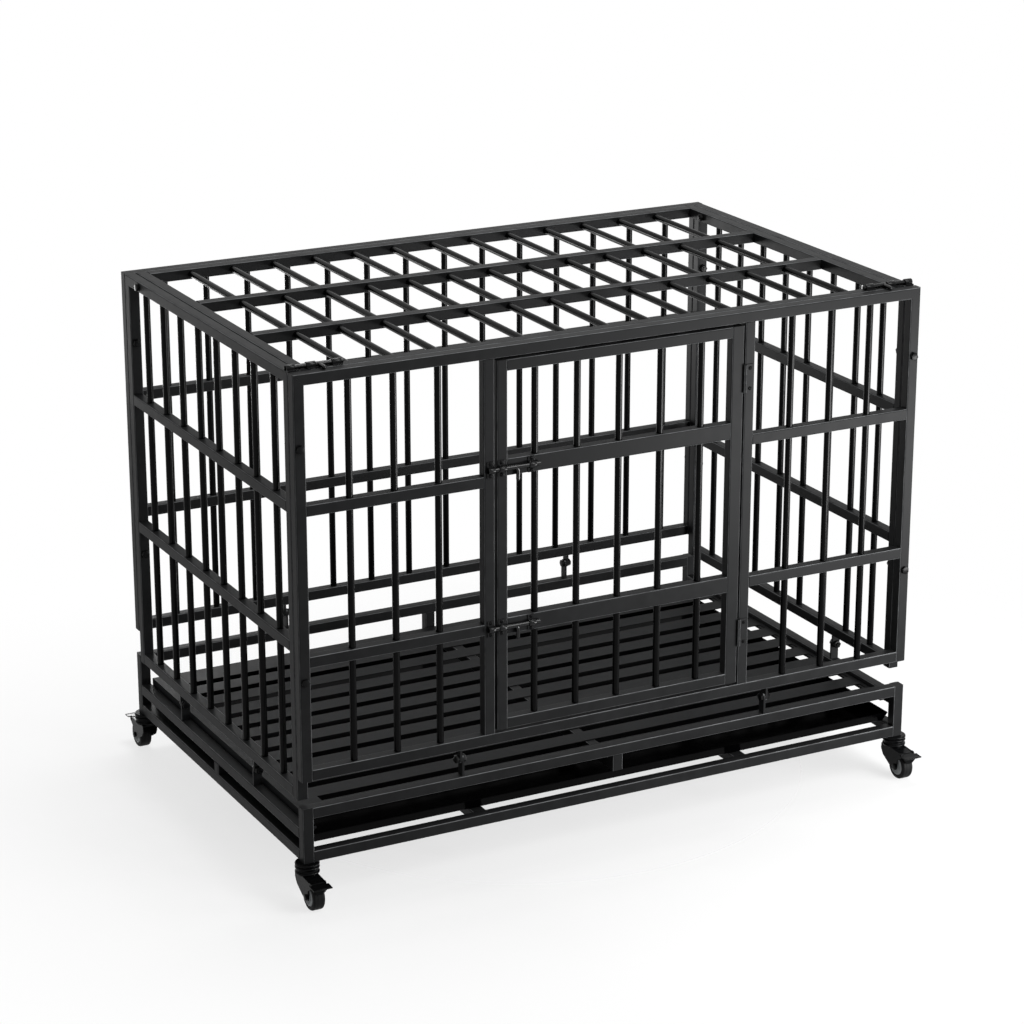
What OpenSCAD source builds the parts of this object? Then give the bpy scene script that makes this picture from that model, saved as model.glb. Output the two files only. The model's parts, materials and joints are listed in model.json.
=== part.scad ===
// Heavy duty dog crate on locking casters.
// Millimetres, Z up, floor at Z = 0, origin in the middle of the footprint.
// X runs along the long side and the door side faces -Y.

/* [Crate] */
// Outside length of the cage
crate_length = 1220; // [1100:10:1320]
// Outside depth of the cage, front to rear
crate_depth = 772; // [700:2:860]
// Height of the cage above the underside of its base
cage_height = 861; // [820:1:960]
// Side of the square tube
tube = 20; // [18:0.5:22]
// Outside corner radius of the tube
tube_round = 2.5; // [1.5:0.25:3]
// Fit-up gap left at a welded tube end
weld_gap = 0.1; // [0.05:0.05:0.2]
// Gap between neighbouring panels
panel_gap = 1; // [0.9:0.1:2]

/* [Bars] */
// Diameter of the round bars
bar_d = 12; // [9:0.5:14]
// Distance from bar to bar
bar_pitch = 81.5; // [70:0.5:95]
// Radial clearance of a bar in a punched rail
bar_fit = 0.1; // [0.05:0.05:0.2]
// Centre height of the upper cross rails above the base underside
upper_mid = 627.5; // [590:0.5:650]
// Centre height of the lower cross rail of the front panel
lower_mid = 362.5; // [330:0.5:390]

/* [Base and fold joints] */
// Top of the front base rail above the base underside
front_base = 100; // [96:1:112]
// Clear height between a base rail and the panel that folds on it
lug_gap = 49; // [46:1:56]
// Height of the fold bolt above its base rail
lug_rise = 31; // [28:0.5:34]
// Width of a lug plate
lug_w = 16; // [14:0.5:18]
// Thickness of a lug plate
lug_t = 4; // [3:0.5:5]
// Distance of the front and rear lugs from the middle
lug_long = 308; // [280:1:340]
// Distance of the end lugs from the middle
lug_short = 169; // [150:1:200]
// Diameter of the bolts
bolt_d = 8; // [6:1:8]
// Radial clearance of a bolt in its hole
bolt_fit = 0.1; // [0.05:0.01:0.1]
// Drop of the lower corner bolts below the lower cross rail of the front panel
corner_drop = 34; // [24:0.5:50]
// Place of the upper corner bolts between the upper cross rails and the top
corner_share = 0.46; // [0.35:0.01:0.6]

/* [Floor and tray] */
// Top of the slatted floor above the base underside
floor_top = 72; // [70:0.5:74]
// Thickness of the floor sheet
floor_t = 1.5; // [1:0.25:2]
// Distance from slot to slot
slot_pitch = 59; // [52:0.5:66]
// Width of a floor slot
slot_w = 20; // [14:0.5:26]
// Distance of the tray bearers from the middle
bearer_x = 266; // [200:1:340]
// Width of a tray bearer
bearer_w = 25; // [20:0.5:30]
// Depth of the drip tray
tray_depth = 24; // [18:0.5:26]
// How far the front and rear tray walls lean out
tray_flare = 18; // [8:1:24]
// Thickness of the tray sheet
tray_t = 1.5; // [1:0.25:2]

/* [Door] */
// Width of the opening between the jambs
doorway = 490; // [440:2:540]
// Gap on the latch side of the door
latch_gap = 4.5; // [3:0.5:6]
// Gap on the hinge side of the door
hinge_gap = 2.5; // [2.3:0.1:3.5]
// Gap above and below the door
door_gap = 4.5; // [3:0.5:6]
// Width of the hinge stile
hinge_stile = 24; // [20:0.5:28]
// Height of the door cross rails
door_rail = 30; // [28:0.5:36]
// Centre height of the upper door rail above the base underside
door_rail_high = 648.5; // [600:0.5:660]
// Centre height of the lower door rail
door_rail_low = 363.5; // [330:0.5:400]
// Centre height of the upper hinge
hinge_high = 741; // [700:0.5:780]
// Centre height of the lower hinge
hinge_low = 269; // [230:0.5:300]
// Length of a hinge
hinge_len = 51; // [44:0.5:60]
// Outside radius of a hinge barrel
barrel_r = 3; // [2.5:0.1:3.2]
// Thickness of a hinge leaf
leaf_t = 1.5; // [1:0.1:1.6]

/* [Lid] */
// Gap between the lid and the end panels
lid_gap = 2; // [1.5:0.1:3]
// Distance of the lid pivot behind the middle
pivot_y = 300; // [280:1:310]
// Distance of the lid cross rails from the middle
lid_mid = 118; // [100:1:140]

/* [Slide bolts] */
// Diameter of a slide bolt
rod_d = 8; // [6:0.5:9]
// Radial clearance of a slide bolt in its straps
rod_fit = 0.1; // [0.05:0.01:0.1]
// Thickness of a strap
strap_t = 1.5; // [1.2:0.1:2]
// Diameter of a bolt handle
handle_d = 7; // [5:0.5:7]
// Length of the hanging part of a handle
handle_drop = 22; // [20:1:28]
// Radius of the bend in a handle
handle_bend = 8; // [7:0.5:9]
// Distance of a strap screw from the bolt axis
screw_off = 10.75; // [10:0.25:12]

/* [Casters] */
// Height of a caster from the floor to the base
caster_height = 78; // [77:1:84]
// Diameter of the wheel
wheel_d = 50; // [48:0.5:51]
// Width of the wheel
wheel_w = 22; // [18:0.5:24]
// Distance of the wheel axle from the swivel axis
trail = 25.6; // [22:0.2:28]
// Outside radius of the swivel rings
swivel_r = 21.5; // [19:0.5:22]
// Radial seat of the tyre on its hub
tyre_seat = 0.6; // [0.4:0.05:0.8]
// Running clearance between turning caster pieces
caster_gap = 0.3; // [0.2:0.05:0.5]

/* [Hidden] */
$fn = 48;
coat = [0.13, 0.135, 0.14];
coat_floor = [0.17, 0.175, 0.18];
tray_black = [0.05, 0.05, 0.055];
zinc = [0.55, 0.56, 0.57];
hub_grey = [0.42, 0.44, 0.45];
tyre_black = [0.08, 0.08, 0.085];

half_length = crate_length / 2;
half_depth = crate_depth / 2;
base_low = caster_height;
cage_top = base_low + cage_height;
front_y = -half_depth + tube / 2;
side_x = half_length - tube / 2;

// Each pair of neighbouring sides folds one tube higher than the last
front_rail = base_low + front_base;
rear_rail = front_rail + tube;
right_rail = front_rail - tube;
left_rail = front_rail - 2 * tube;
front_low = front_rail + lug_gap;
rear_low = rear_rail + lug_gap;
right_low = right_rail + lug_gap;
left_low = left_rail + lug_gap;

end_half = half_depth - tube - panel_gap;
upper_rail = base_low + upper_mid;
front_lower = base_low + lower_mid;
end_lower = front_lower + tube;
rear_lower = end_lower + tube;
bar_hole = bar_d + 2 * bar_fit;

bolt_hole = bolt_d + 2 * bolt_fit;
bolt_head = bolt_d * 1.62;
bolt_head_h = bolt_d * 0.6;
nut_h = bolt_d * 0.8;
lug_play = 0.1;
corner_bolts_z = [base_low + lower_mid - corner_drop,
    base_low + upper_mid + (cage_height - upper_mid) * corner_share];

floor_z = base_low + floor_top;
floor_half_x = half_length - tube - 1;
floor_half_y = half_depth - tube - 4;
slot_left = -floor_half_x + 50;
slot_right = floor_half_x - 8;
slot_reach = floor((floor_half_y - 40) / slot_pitch);
ledge_t = 4;
ledge_w = 15;
floor_lip = 18;
tray_low = base_low + tube + 0.3;
tray_half_x = half_length - tube - 3;
tray_half_y = half_depth - tube + 5;
tray_bend = 8;

jamb_x = doorway / 2 + tube / 2;
door_left = -doorway / 2 + latch_gap;
door_right = doorway / 2 - hinge_gap;
door_low = front_low + tube + door_gap;
door_high = cage_top - tube - door_gap;
door_inner_left = door_left + tube;
door_inner_right = door_right - hinge_stile;
door_rails_z = [base_low + door_rail_low, base_low + door_rail_high];
hinges_z = [base_low + hinge_low, base_low + hinge_high];
hinge_x = doorway / 2 - hinge_gap / 2;
hinge_out = 2.2;
leaf_reach = 18;
pin_r = 1.6;
pin_fit = 0.06;
hinge_screw_x = 11;
hinge_screw_z = hinge_len * 0.36;

lid_x = half_length - tube - lid_gap;
lid_y = half_depth - tube - panel_gap;
lid_z = cage_top - tube / 2;
lid_inner = lid_x - tube;

screw_d = 3.6;
screw_head = screw_d;
screw_head_h = 2.3;
screw_dome = (screw_head * screw_head + screw_head_h * screw_head_h) / (2 * screw_head_h);
screw_long = 9;
rod_lift = 0.3;
rod_seat = rod_d / 2 + rod_lift;
arch_in = rod_d / 2 + rod_fit;
arch_out = arch_in + strap_t;
flange_door = screw_off + 3.75;
flange_lid = min(arch_out + 4, tube / 2 - 0.3);

// Slide bolt stations, measured inwards along X from the outer edge of the jamb or cage
door_edge = -doorway / 2 - tube;
door_keeper = door_edge + 11;
door_guide_a = door_left + 7.5;
first_bar = bar_places(door_inner_left, door_inner_right)[0];
door_guide_b = first_bar - bar_d / 2 - screw_d / 2 - 4.2;
door_handle = (door_guide_a + door_guide_b) / 2 + 1.5;
door_tip = door_edge + 7.5;
door_tail = door_guide_b + 15;
lid_keeper = -half_length + 8.5;
lid_guide_a = -half_length + 45;
lid_guide_b = -half_length + 90.5;
lid_handle = -half_length + 60;
lid_tip = -half_length + 4;
lid_tail = lid_guide_b + 12;

race_split = caster_height - 12;
race_low = caster_height - 21;
stem_r = 5;
stem_long = 26;
stem_fit = 0.1;
crown_low = race_low - 2.5;
fork_in = wheel_w / 2 + 1.5;
fork_t = 2;
fork_out = fork_in + fork_t;
axle_r = 3;
axle_fit = 0.1;
hub_r = wheel_d * 0.35;
axle_z = wheel_d / 2;
pedal_u = trail * 1.64;
pedal_z = axle_z + wheel_d * 0.53;
pedal_pin_r = 2;
pedal_fit = 0.08;
pedal_tip = pedal_u + wheel_d * 0.44;
pedal_back = wheel_d * 0.36;

// Bars stand on one pitch, centred between the two rails they fill
function bar_count(span) = max(1, floor(span / bar_pitch - 0.2));
function bar_places(low, high) =
    [for (i = [0 : bar_count(high - low) - 1])
        (low + high) / 2 + (i - (bar_count(high - low) - 1) / 2) * bar_pitch];

// Rounded square section of the tube
module tube_section(across, tall) {
    square([across - 2 * tube_round, tall], center = true);
    square([across, tall - 2 * tube_round], center = true);
    for (i = [-1, 1], j = [-1, 1])
        translate([i * (across / 2 - tube_round), j * (tall / 2 - tube_round)]) circle(tube_round);
}

module tube_up(x, y, low, high, across = tube, deep = tube) {
    translate([x, y, low]) linear_extrude(high - low) tube_section(across, deep);
}

module tube_along(y, z, left, right, deep = tube, tall = tube) {
    translate([left, y, z]) rotate([90, 0, 90]) linear_extrude(right - left) tube_section(deep, tall);
}

module tube_back(x, z, front, rear, across = tube, tall = tube) {
    translate([x, rear, z]) rotate([90, 0, 0]) linear_extrude(rear - front) tube_section(across, tall);
}

// Block on one side of the 45 degree seam at an upper frame corner
module mitre_block(corner, top, below) {
    size = 4 * tube;
    drop = below ? -size + weld_gap / 2 : -weld_gap / 2;
    translate([corner, 0, top]) rotate([0, 45, 0])
        translate([-size / 2, -size / 2, drop]) cube(size);
}

// Panel outline in the XZ plane: mitred at the top, butted at the bottom
module goal_frame(half, low, high) {
    for (turn = [0, 180]) rotate([0, 0, turn]) difference() {
        tube_up(-half + tube / 2, 0, low, high);
        mitre_block(-half, high, false);
    }
    difference() {
        tube_along(0, high - tube / 2, -half, half);
        for (turn = [0, 180]) rotate([0, 0, turn]) mitre_block(-half, high, true);
    }
    tube_along(0, low + tube / 2, -half + tube + weld_gap, half - tube - weld_gap);
}

module bars_up(places, low, high, across) {
    for (x = places) translate([x, 0, low]) cylinder(h = high - low, d = across);
}

// Cross rails of a panel, punched for its bars
module punched_rails(left, right, heights, deep = tube, tall = tube) {
    difference() {
        for (z = heights)
            tube_along(0, z, left + weld_gap, right - weld_gap, deep, tall);
        for (x = bar_places(left, right), z = heights)
            translate([x, 0, z - tall]) cylinder(h = 2 * tall, d = bar_hole);
    }
}

// Base weldment
module base_posts() color(coat) {
    difference() {
        union() {
            for (x = [-side_x, side_x]) {
                tube_up(x, front_y, base_low, front_rail);
                tube_up(x, -front_y, base_low, rear_rail);
            }
        }
        at_casters() translate([0, 0, base_low - 1]) cylinder(h = stem_long + 2, r = stem_r + stem_fit);
    }
    tube_up(-side_x, 0, base_low + tube, left_rail - tube);
    tube_up(0, front_y, floor_z - floor_t - tube, front_rail - tube);
    tube_up(0, -front_y, floor_z - floor_t - tube, rear_rail - tube);
}

module base_rails() color(coat) {
    inner_x = half_length - tube;
    inner_y = half_depth - tube;
    for (z = [base_low + tube / 2, front_rail - tube / 2]) tube_along(front_y, z, -inner_x, inner_x);
    for (z = [base_low + tube / 2, rear_rail - tube / 2]) tube_along(-front_y, z, -inner_x, inner_x);
    for (z = [base_low + tube / 2, left_rail - tube / 2]) tube_back(-side_x, z, -inner_y, inner_y);
    for (z = [base_low + tube / 2, right_rail - tube / 2]) tube_back(side_x, z, -inner_y, inner_y);
}

module tray_bearers() color(coat) {
    for (x = [-bearer_x, bearer_x])
        tube_back(x, base_low + tube / 2, -half_depth + tube, half_depth - tube, bearer_w, tube);
}

// Centre beam under the slats and the two ledges on the end rails
module floor_bearers() color(coat) {
    inner_x = half_length - tube;
    tube_back(0, floor_z - floor_t - tube / 2, -half_depth + tube, half_depth - tube);
    translate([-inner_x, -floor_half_y, floor_z - floor_lip - ledge_t])
        cube([ledge_w, 2 * floor_half_y, ledge_t]);
    translate([inner_x - ledge_w, -floor_half_y, floor_z - floor_t - ledge_t])
        cube([ledge_w, 2 * floor_half_y, ledge_t]);
}

module slat_floor() color(coat_floor) difference() {
    union() {
        translate([-floor_half_x, -floor_half_y, floor_z - floor_t])
            cube([2 * floor_half_x, 2 * floor_half_y, floor_t]);
        translate([-floor_half_x, -floor_half_y, floor_z - floor_lip])
            cube([floor_t, 2 * floor_half_y, floor_lip]);
    }
    for (i = [-slot_reach : slot_reach])
        translate([slot_left, i * slot_pitch - slot_w / 2, floor_z - floor_t - 1])
            cube([slot_right - slot_left, slot_w, floor_t + 2]);
}

// Fold lugs: local origin on the middle of a base rail top, +X away from the panel middle
module at_lugs() {
    for (s = [-1, 1]) {
        turn_x = s > 0 ? 0 : 180;
        turn_y = s > 0 ? 90 : -90;
        translate([s * lug_long, front_y, front_rail]) rotate([0, 0, turn_x]) children();
        translate([s * lug_long, -front_y, rear_rail]) rotate([0, 0, turn_x]) children();
        translate([-side_x, s * lug_short, left_rail]) rotate([0, 0, turn_y]) children();
        translate([side_x, s * lug_short, right_rail]) rotate([0, 0, turn_y]) children();
    }
}

module lug_plate(from, low, high) {
    translate([from, 0, 0]) rotate([90, 0, 90]) linear_extrude(lug_t - lug_play / 2) difference() {
        union() {
            translate([-lug_w / 2, low]) square([lug_w, high - low]);
            translate([0, lug_rise]) circle(d = lug_w);
        }
        translate([0, lug_rise]) circle(d = bolt_hole);
    }
}

module base_lugs() color(coat) at_lugs() lug_plate(-lug_t, 0, lug_rise);

module panel_lugs() color(coat) at_lugs() lug_plate(lug_play / 2, lug_rise, lug_gap);

// Hexagon bolt along +X, head seated at the origin
module hex_bolt(grip) {
    rotate([0, 90, 0]) {
        translate([0, 0, -bolt_head_h]) cylinder(h = bolt_head_h, d = bolt_head * 1.1547, $fn = 6);
        translate([0, 0, -0.5]) cylinder(h = grip + nut_h + 2.5, d = bolt_d);
    }
}

module hex_nut() {
    rotate([0, 90, 0]) difference() {
        cylinder(h = nut_h, d = bolt_head * 1.1547, $fn = 6);
        translate([0, 0, -1]) cylinder(h = nut_h + 2, d = bolt_hole);
    }
}

module lug_bolts() color(zinc) at_lugs() translate([-lug_t, 0, lug_rise]) hex_bolt(2 * lug_t);

// Corner bolts: local +X runs inwards through the post of a long panel into the end panel
corner_grip = 2 * tube + panel_gap;
module at_corner_bolts() {
    for (x = [-side_x, side_x], z = corner_bolts_z) {
        translate([x, -half_depth, z]) rotate([0, 0, 90]) children();
        translate([x, half_depth, z]) rotate([0, 0, -90]) children();
    }
}

module corner_bores() {
    at_corner_bolts() rotate([0, 90, 0]) translate([0, 0, -1]) cylinder(h = corner_grip + 2, d = bolt_hole);
}

module corner_bolts() color(zinc) at_corner_bolts() hex_bolt(corner_grip);

// Lid pivots: local +X runs inwards through the end rail into the lid
pivot_play = 0.3;
pivot_grip = 2 * tube + lid_gap + pivot_play;
module at_pivots() {
    translate([-half_length, pivot_y, lid_z]) children();
    translate([half_length, pivot_y, lid_z]) rotate([0, 0, 180]) children();
}

module pivot_bores() {
    at_pivots() rotate([0, 90, 0]) translate([0, 0, -1]) cylinder(h = pivot_grip + 2, d = bolt_hole);
}

module lid_pivot_bolts() color(zinc) at_pivots() hex_bolt(pivot_grip);

module frame_nuts() color(zinc) {
    at_lugs() translate([lug_t, 0, lug_rise]) hex_nut();
    at_corner_bolts() translate([corner_grip, 0, 0]) hex_nut();
    at_pivots() translate([pivot_grip, 0, 0]) hex_nut();
}

// Front panel with the doorway
front_heights = [front_lower, upper_rail];
front_inner = half_length - tube;
front_jamb = doorway / 2 + tube;

module front_frame() color(coat) difference() {
    translate([0, front_y, 0]) {
        goal_frame(half_length, front_low, cage_top);
        for (s = [-1, 1])
            tube_up(s * jamb_x, 0, front_low + tube + weld_gap, cage_top - tube - weld_gap);
        punched_rails(-front_inner, -front_jamb, front_heights);
        punched_rails(front_jamb, front_inner, front_heights);
    }
    corner_bores();
    at_hinge_screws() screw_bore();
    at_door_bolts() at_screws(door_keeper) screw_bore();
}

module front_bars() color(coat) translate([0, front_y, 0]) {
    bars_up(bar_places(-front_inner, -front_jamb), front_low + tube, cage_top - tube, bar_d);
    bars_up(bar_places(front_jamb, front_inner), front_low + tube, cage_top - tube, bar_d);
}

module rear_frame() color(coat) difference() {
    translate([0, -front_y, 0]) {
        goal_frame(half_length, rear_low, cage_top);
        punched_rails(-front_inner, front_inner, [rear_lower, upper_rail]);
    }
    corner_bores();
}

module rear_bars() color(coat) translate([0, -front_y, 0])
    bars_up(bar_places(-front_inner, front_inner), rear_low + tube, cage_top - tube, bar_d);

// End panels stand between the long panels
end_inner = end_half - tube;
module end_frame(x, low) {
    difference() {
        translate([x, 0, 0]) rotate([0, 0, 90]) {
            goal_frame(end_half, low, cage_top);
            punched_rails(-end_inner, end_inner, [end_lower, upper_rail]);
        }
        corner_bores();
        pivot_bores();
    }
}

module end_bars(x, low) {
    translate([x, 0, 0]) rotate([0, 0, 90])
        bars_up(bar_places(-end_inner, end_inner), low + tube, cage_top - tube, bar_d);
}

module left_frame() color(coat) end_frame(-side_x, left_low);

module left_bars() color(coat) end_bars(-side_x, left_low);

module right_frame() color(coat) end_frame(side_x, right_low);

module right_bars() color(coat) end_bars(side_x, right_low);

// Door hinges: local origin on the hinge axis at the middle of a hinge
module at_hinges() {
    for (z = hinges_z) translate([hinge_x, -half_depth - hinge_out, z]) children();
}

module at_hinge_screws() {
    at_hinges() for (s = [-1, 1])
        translate([hinge_screw_x, hinge_out - leaf_t, s * hinge_screw_z]) children();
}

knuckle = hinge_len / 3;
knuckle_gap = 0.2;
module knuckle_at(middle, tall) {
    translate([0, 0, middle - tall / 2]) cylinder(h = tall, r = barrel_r);
}

module jamb_leaf() {
    clear = barrel_r + 0.4;
    difference() {
        union() {
            for (s = [-1, 1]) {
                knuckle_at(s * knuckle, knuckle - knuckle_gap);
                translate([0, hinge_out - leaf_t, s * knuckle - (knuckle - knuckle_gap) / 2])
                    cube([clear + 1, leaf_t, knuckle - knuckle_gap]);
            }
            translate([clear, hinge_out - leaf_t, -hinge_len / 2])
                cube([leaf_reach - clear, leaf_t, hinge_len]);
        }
        translate([0, 0, -hinge_len]) cylinder(h = 2 * hinge_len, r = pin_r + pin_fit);
        for (s = [-1, 1]) translate([hinge_screw_x, hinge_out - leaf_t, s * hinge_screw_z]) screw_bore();
    }
}

module door_leaf() {
    clear = barrel_r + 0.4;
    difference() {
        union() {
            knuckle_at(0, knuckle - knuckle_gap);
            translate([-hinge_gap / 2, 0, -(knuckle - knuckle_gap) / 2])
                cube([leaf_t, clear + 1, knuckle - knuckle_gap]);
            translate([-hinge_gap / 2, clear, -hinge_len / 2])
                cube([leaf_t, leaf_reach - clear, hinge_len]);
        }
        translate([0, 0, -hinge_len]) cylinder(h = 2 * hinge_len, r = pin_r + pin_fit);
    }
}

module jamb_leaves() color(coat) at_hinges() jamb_leaf();

module door_leaves() color(coat) at_hinges() door_leaf();

module hinge_pins() color(zinc) at_hinges()
    translate([0, 0, -hinge_len / 2 - 0.5]) cylinder(h = hinge_len + 1, r = pin_r);

// Pan head screw driven along +Y, head seated at the origin
module screw() {
    rotate([-90, 0, 0]) {
        intersection() {
            translate([0, 0, screw_dome - screw_head_h]) sphere(r = screw_dome);
            translate([0, 0, -screw_head_h - 1]) cylinder(h = screw_head_h + 1, r = screw_head);
        }
        translate([0, 0, -0.5]) cylinder(h = screw_long + 0.5, d = screw_d);
    }
}

module screw_bore() {
    rotate([-90, 0, 0]) translate([0, 0, -1]) cylinder(h = screw_long + 2, d = screw_d + 0.2);
}

// Slide bolts: local X is the bolt axis, the rail face lies at Y = rod_seat and the handle hangs to -Z
module at_door_bolts() {
    for (z = door_rails_z) translate([0, -half_depth - rod_seat, z]) children();
}

module at_left_lid_bolt() {
    translate([0, -lid_y + tube / 2, cage_top + rod_seat]) rotate([-90, 0, 0]) children();
}

module at_lid_bolts() {
    at_left_lid_bolt() children();
    mirror([1, 0, 0]) at_left_lid_bolt() children();
}

module at_screws(x) {
    for (s = [-1, 1]) translate([x, rod_seat - strap_t, s * screw_off]) children();
}

// Strap bent over the bolt, open towards the rail
module strap(x, width, flange) {
    translate([x - width / 2, 0, 0]) rotate([90, 0, 90]) linear_extrude(width) difference() {
        union() {
            circle(arch_out);
            translate([0, -arch_out]) square([rod_seat, 2 * arch_out]);
            translate([rod_seat - strap_t, -flange]) square([strap_t, 2 * flange]);
        }
        circle(arch_in);
        translate([0, -arch_in]) square([rod_seat + 1, 2 * arch_in]);
        translate([rod_seat, -2 * arch_out]) square([arch_out, 4 * arch_out]);
    }
}

module screwed_strap(x, width) {
    difference() {
        strap(x, width, flange_door);
        at_screws(x) screw_bore();
    }
}

module keepers() color(coat) {
    at_door_bolts() screwed_strap(door_keeper, 12);
    at_lid_bolts() strap(lid_keeper, 15, flange_lid);
}

module frame_screws() color(zinc) {
    at_hinge_screws() screw();
    at_door_bolts() at_screws(door_keeper) screw();
}

module slide_bolt(tip, tail, grip) {
    translate([tip, 0, 0]) rotate([0, 90, 0]) {
        translate([0, 0, 1]) cylinder(h = tail - tip - 1, d = rod_d);
        cylinder(h = 1, d1 = rod_d - 2, d2 = rod_d);
    }
    translate([grip - handle_bend, 0, -handle_bend]) rotate([90, 0, 0])
        rotate_extrude(angle = 90) translate([handle_bend, 0]) circle(d = handle_d);
    translate([grip, 0, -handle_drop]) cylinder(h = handle_drop - handle_bend, d = handle_d);
    translate([grip, 0, -handle_drop]) sphere(d = handle_d);
}

module upper_door_bolt() color(coat) translate([0, -half_depth - rod_seat, door_rails_z[1]])
    slide_bolt(door_tip, door_tail, door_handle);

module lower_door_bolt() color(coat) translate([0, -half_depth - rod_seat, door_rails_z[0]])
    slide_bolt(door_tip, door_tail, door_handle);

module left_lid_bolt() color(coat) at_left_lid_bolt() slide_bolt(lid_tip, lid_tail, lid_handle);

module right_lid_bolt() color(coat) mirror([1, 0, 0])
    at_left_lid_bolt() slide_bolt(lid_tip, lid_tail, lid_handle);

// Door
module door_frame() color(coat) difference() {
    translate([0, front_y, 0]) {
        tube_up(door_left + tube / 2, 0, door_low, door_high);
        tube_up(door_right - hinge_stile / 2, 0, door_low, door_high, hinge_stile, tube);
        for (z = [door_low + tube / 2, door_high - tube / 2])
            tube_along(0, z, door_inner_left + weld_gap, door_inner_right - weld_gap);
        punched_rails(door_inner_left, door_inner_right, door_rails_z, tube, door_rail);
    }
    at_door_bolts() for (x = [door_guide_a, door_guide_b]) at_screws(x) screw_bore();
}

module door_bars() color(coat) translate([0, front_y, 0])
    bars_up(bar_places(door_inner_left, door_inner_right), door_low + tube, door_high - tube, bar_d);

module door_guides() color(coat) at_door_bolts()
    for (x = [door_guide_a, door_guide_b]) screwed_strap(x, 13);

module door_screws() color(zinc) at_door_bolts()
    for (x = [door_guide_a, door_guide_b]) at_screws(x) screw();

// Lid
lid_rail_y = lid_y - tube / 2;
module lid_frame() color(coat) difference() {
    union() {
        for (x = [-lid_x + tube / 2, lid_x - tube / 2]) tube_back(x, lid_z, -lid_y, lid_y);
        for (y = [-lid_rail_y, lid_rail_y])
            tube_along(y, lid_z, -lid_inner + weld_gap, lid_inner - weld_gap);
        difference() {
            for (y = [-lid_mid, lid_mid]) tube_along(y, lid_z, -lid_inner + weld_gap, lid_inner - weld_gap);
            lid_rods(bar_hole, -lid_mid - tube, lid_mid + tube);
        }
    }
    pivot_bores();
}

module lid_rods(across, front, rear) {
    for (x = bar_places(-lid_inner, lid_inner))
        translate([x, rear, lid_z]) rotate([90, 0, 0]) cylinder(h = rear - front, d = across);
}

module lid_bars() color(coat) lid_rods(bar_d, -lid_y + tube, lid_y - tube);

module lid_guides() color(coat) at_lid_bolts()
    for (x = [lid_guide_a, lid_guide_b]) strap(x, 17, flange_lid);

// Drip tray pressed from one sheet, front and rear walls leaning out
tray_angle = atan2(tray_depth, tray_flare);
tray_foot = tray_half_y - tray_flare;
function tray_arc(radius) =
    [for (i = [0 : 6])
        [tray_foot - tray_bend * tan(tray_angle / 2) + radius * cos(-90 + tray_angle * i / 6),
         tray_bend + radius * sin(-90 + tray_angle * i / 6)]];
function mirrored(points) = [for (i = [len(points) - 1 : -1 : 0]) [-points[i][0], points[i][1]]];
function tray_outline(radius, shift, top) =
    concat(mirrored(concat(tray_arc(radius), [[tray_half_y - shift, top]])),
        concat(tray_arc(radius), [[tray_half_y - shift, top]]));

module tray() color(tray_black) translate([0, 0, tray_low]) difference() {
    tray_solid(tray_half_x, tray_outline(tray_bend, 0, tray_depth));
    over = 1 / tan(tray_angle);
    tray_solid(tray_half_x - tray_t,
        tray_outline(tray_bend - tray_t, tray_t / sin(tray_angle) - over, tray_depth + 1));
}

module tray_solid(half, outline) {
    translate([-half, 0, 0]) rotate([90, 0, 90]) linear_extrude(2 * half) polygon(outline);
}

// Casters: local origin on the floor under the swivel axis, the wheel trails to -Y
module at_caster(x, y) {
    translate([x, y, 0]) rotate([0, 0, y < 0 ? 0 : 180]) children();
}

module at_casters() {
    for (x = [-side_x, side_x], y = [front_y, -front_y]) at_caster(x, y) children();
}

// Ring with a rolled bulge, turned about the swivel axis
module race(low, high, bulges) {
    rotate_extrude() {
        translate([0, low]) square([swivel_r - 2.5, high - low]);
        for (z = bulges) translate([swivel_r - 2.5, z]) circle(2.5);
    }
}

module caster_cups() color(coat) at_casters() {
    race(race_split, caster_height, [race_split + 3.5, caster_height - 2.5]);
    translate([0, 0, caster_height - 1]) cylinder(h = stem_long + 1, r = stem_r);
}

module fork_leg() {
    difference() {
        union() {
            polygon([[-19, race_low], [-20, race_low - 11], [-13, 35], [6, 24], [trail - 6, axle_z - 7],
                [trail + 7, axle_z], [trail + 7, axle_z + 13], [pedal_u + 2, pedal_z - 5],
                [pedal_u + 4, pedal_z + 4], [12, race_low]]);
            translate([trail, axle_z]) circle(7.5);
            translate([pedal_u, pedal_z]) circle(5.4);
        }
        translate([trail, axle_z]) circle(axle_r + axle_fit);
        translate([pedal_u, pedal_z]) circle(pedal_pin_r + pedal_fit);
    }
}

// Side view plane of a caster: local X trails, local Y is up, extruded along the axle
module across(low, high) {
    translate([low, 0, 0]) rotate([90, 0, 90]) mirror([1, 0, 0]) linear_extrude(high - low) children();
}

module fork() {
    race(race_low, race_split - caster_gap, [race_low + 3.6]);
    across(-fork_out, -fork_in) fork_leg();
    across(fork_in, fork_out) fork_leg();
    crown_end = pedal_u - pedal_back - 2;
    across(-fork_out, fork_out) polygon([[-19, race_low], [-19, crown_low], [crown_end, crown_low],
        [crown_end, race_low]]);
}

module axles() {
    across(-fork_out - 3, -fork_out) translate([trail, axle_z]) circle(5);
    across(-fork_out - 0.5, fork_out + 3) translate([trail, axle_z]) circle(axle_r);
    across(fork_out, fork_out + 2.8) translate([trail, axle_z]) circle(5);
    across(-fork_out - 1.2, fork_out + 1.2) translate([pedal_u, pedal_z]) circle(pedal_pin_r);
}

module wheel_spin(x) {
    translate([0, -trail, axle_z]) rotate([0, 90, 0]) rotate_extrude() children();
}

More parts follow.
